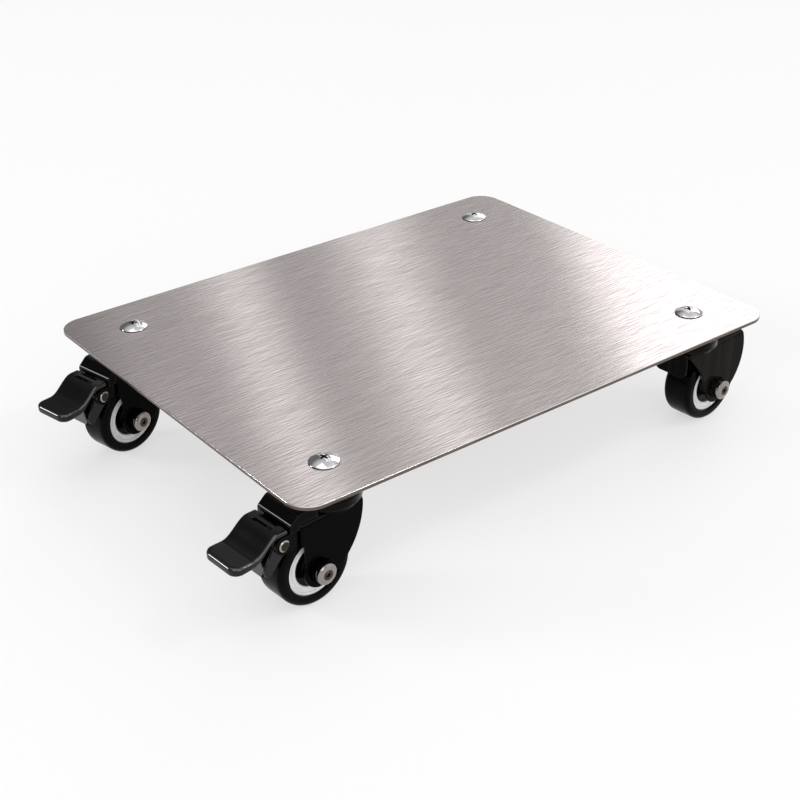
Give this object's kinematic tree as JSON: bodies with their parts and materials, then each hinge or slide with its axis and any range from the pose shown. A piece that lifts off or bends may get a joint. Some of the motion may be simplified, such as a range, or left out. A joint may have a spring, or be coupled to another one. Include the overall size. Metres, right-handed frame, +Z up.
{
  "type": "appliance mobile base",
  "caption": "Low rolling base: flat brushed-steel deck with rounded corners on swivel casters, the casters at one end with foot brakes.",
  "frame": {"origin": "centre of the deck's top face", "axes": "+Z up out of the deck's top face, +X along the deck's long side away from the braked casters, +Y across the deck"},
  "size_m": [0.4012, 0.28, 0.0827],
  "materials": {
    "deck_steel": "brushed along the long side, polished edges",
    "screw_chrome": "bright plated",
    "rivet_steel": "zinc plated",
    "race_steel": "zinc plated",
    "ball_steel": "polished",
    "fork_paint": "high-gloss black",
    "axle_chrome": "bright plated",
    "sleeve_steel": "turned",
    "bearing_steel": "ground",
    "core_white": "white, semi-gloss",
    "tyre_black": "smooth black polyurethane",
    "cover_black": "black, satin",
    "bracket_paint": "gloss black",
    "pin_steel": "plated",
    "pedal_black": "black, satin",
    "shoe_steel": "plain steel",
    "spring_steel": "spring steel"
  },
  "bodies": {
    "deck": {"deck_plate": "deck_steel", "deck_screws": "screw_chrome", "front_king_rivet": "rivet_steel", "front_upper_race": "race_steel", "front_swivel_balls": "ball_steel", "front_lower_cup": "race_steel", "left_king_rivet": "rivet_steel", "left_upper_race": "race_steel", "left_swivel_balls": "ball_steel", "left_lower_cup": "race_steel", "right_king_rivet": "rivet_steel", "right_upper_race": "race_steel", "right_swivel_balls": "ball_steel", "right_lower_cup": "race_steel", "back_king_rivet": "rivet_steel", "back_upper_race": "race_steel", "back_swivel_balls": "ball_steel", "back_lower_cup": "race_steel"},
    "front_fork_body": {"front_fork": "fork_paint", "front_axle_bolt": "axle_chrome", "front_axle_nut": "axle_chrome", "front_axle_sleeve": "sleeve_steel", "front_brake_bracket": "bracket_paint", "front_brake_pin": "pin_steel", "front_brake_spring": "spring_steel"},
    "front_wheel_body": {"front_bearing_rings": "bearing_steel", "front_wheel_core": "core_white", "front_tyre": "tyre_black", "front_hub_covers": "cover_black"},
    "front_pedal_body": {"front_brake_pedal": "pedal_black", "front_brake_shoe": "shoe_steel"},
    "left_fork_body": {"left_fork": "fork_paint", "left_axle_bolt": "axle_chrome", "left_axle_nut": "axle_chrome", "left_axle_sleeve": "sleeve_steel", "left_brake_bracket": "bracket_paint", "left_brake_pin": "pin_steel", "left_brake_spring": "spring_steel"},
    "left_wheel_body": {"left_bearing_rings": "bearing_steel", "left_wheel_core": "core_white", "left_tyre": "tyre_black", "left_hub_covers": "cover_black"},
    "left_pedal_body": {"left_brake_pedal": "pedal_black", "left_brake_shoe": "shoe_steel"},
    "right_fork_body": {"right_fork": "fork_paint", "right_axle_bolt": "axle_chrome", "right_axle_nut": "axle_chrome", "right_axle_sleeve": "sleeve_steel"},
    "right_wheel_body": {"right_bearing_rings": "bearing_steel", "right_wheel_core": "core_white", "right_tyre": "tyre_black", "right_hub_covers": "cover_black"},
    "back_fork_body": {"back_fork": "fork_paint", "back_axle_bolt": "axle_chrome", "back_axle_nut": "axle_chrome", "back_axle_sleeve": "sleeve_steel"},
    "back_wheel_body": {"back_bearing_rings": "bearing_steel", "back_wheel_core": "core_white", "back_tyre": "tyre_black", "back_hub_covers": "cover_black"}
  },
  "joints": [
    {"name": "front_swivel", "type": "hinge", "parent": "deck", "child": "front_fork_body", "pos_m": [-0.142, -0.106, -0.0205], "axis": [0, 0, 1], "continuous": true},
    {"name": "front_spin", "type": "hinge", "parent": "front_fork_body", "child": "front_wheel_body", "pos_m": [-0.15926, -0.10721, -0.055], "axis": [0.0698, -0.9976, 0], "continuous": true},
    {"name": "front_brake", "type": "hinge", "parent": "front_fork_body", "child": "front_pedal_body", "pos_m": [-0.18071, -0.10871, -0.03], "axis": [0.0698, -0.9976, 0], "range_deg": [0, 18]},
    {"name": "left_swivel", "type": "hinge", "parent": "deck", "child": "left_fork_body", "pos_m": [-0.142, 0.106, -0.0205], "axis": [0, 0, 1], "continuous": true},
    {"name": "left_spin", "type": "hinge", "parent": "left_fork_body", "child": "left_wheel_body", "pos_m": [-0.15892, 0.1024, -0.055], "axis": [0.2079, -0.9781, 0], "continuous": true},
    {"name": "left_brake", "type": "hinge", "parent": "left_fork_body", "child": "left_pedal_body", "pos_m": [-0.17995, 0.09793, -0.03], "axis": [0.2079, -0.9781, 0], "range_deg": [0, 18]},
    {"name": "right_swivel", "type": "hinge", "parent": "deck", "child": "right_fork_body", "pos_m": [0.142, -0.106, -0.0205], "axis": [0, 0, 1], "continuous": true},
    {"name": "right_spin", "type": "hinge", "parent": "right_fork_body", "child": "right_wheel_body", "pos_m": [0.15927, -0.10494, -0.055], "axis": [-0.061, 0.9981, 0], "continuous": true},
    {"name": "back_swivel", "type": "hinge", "parent": "deck", "child": "back_fork_body", "pos_m": [0.142, 0.106, -0.0205], "axis": [0, 0, 1], "continuous": true},
    {"name": "back_spin", "type": "hinge", "parent": "back_fork_body", "child": "back_wheel_body", "pos_m": [0.15921, 0.10419, -0.055], "axis": [0.1045, 0.9945, 0], "continuous": true}
  ]
}
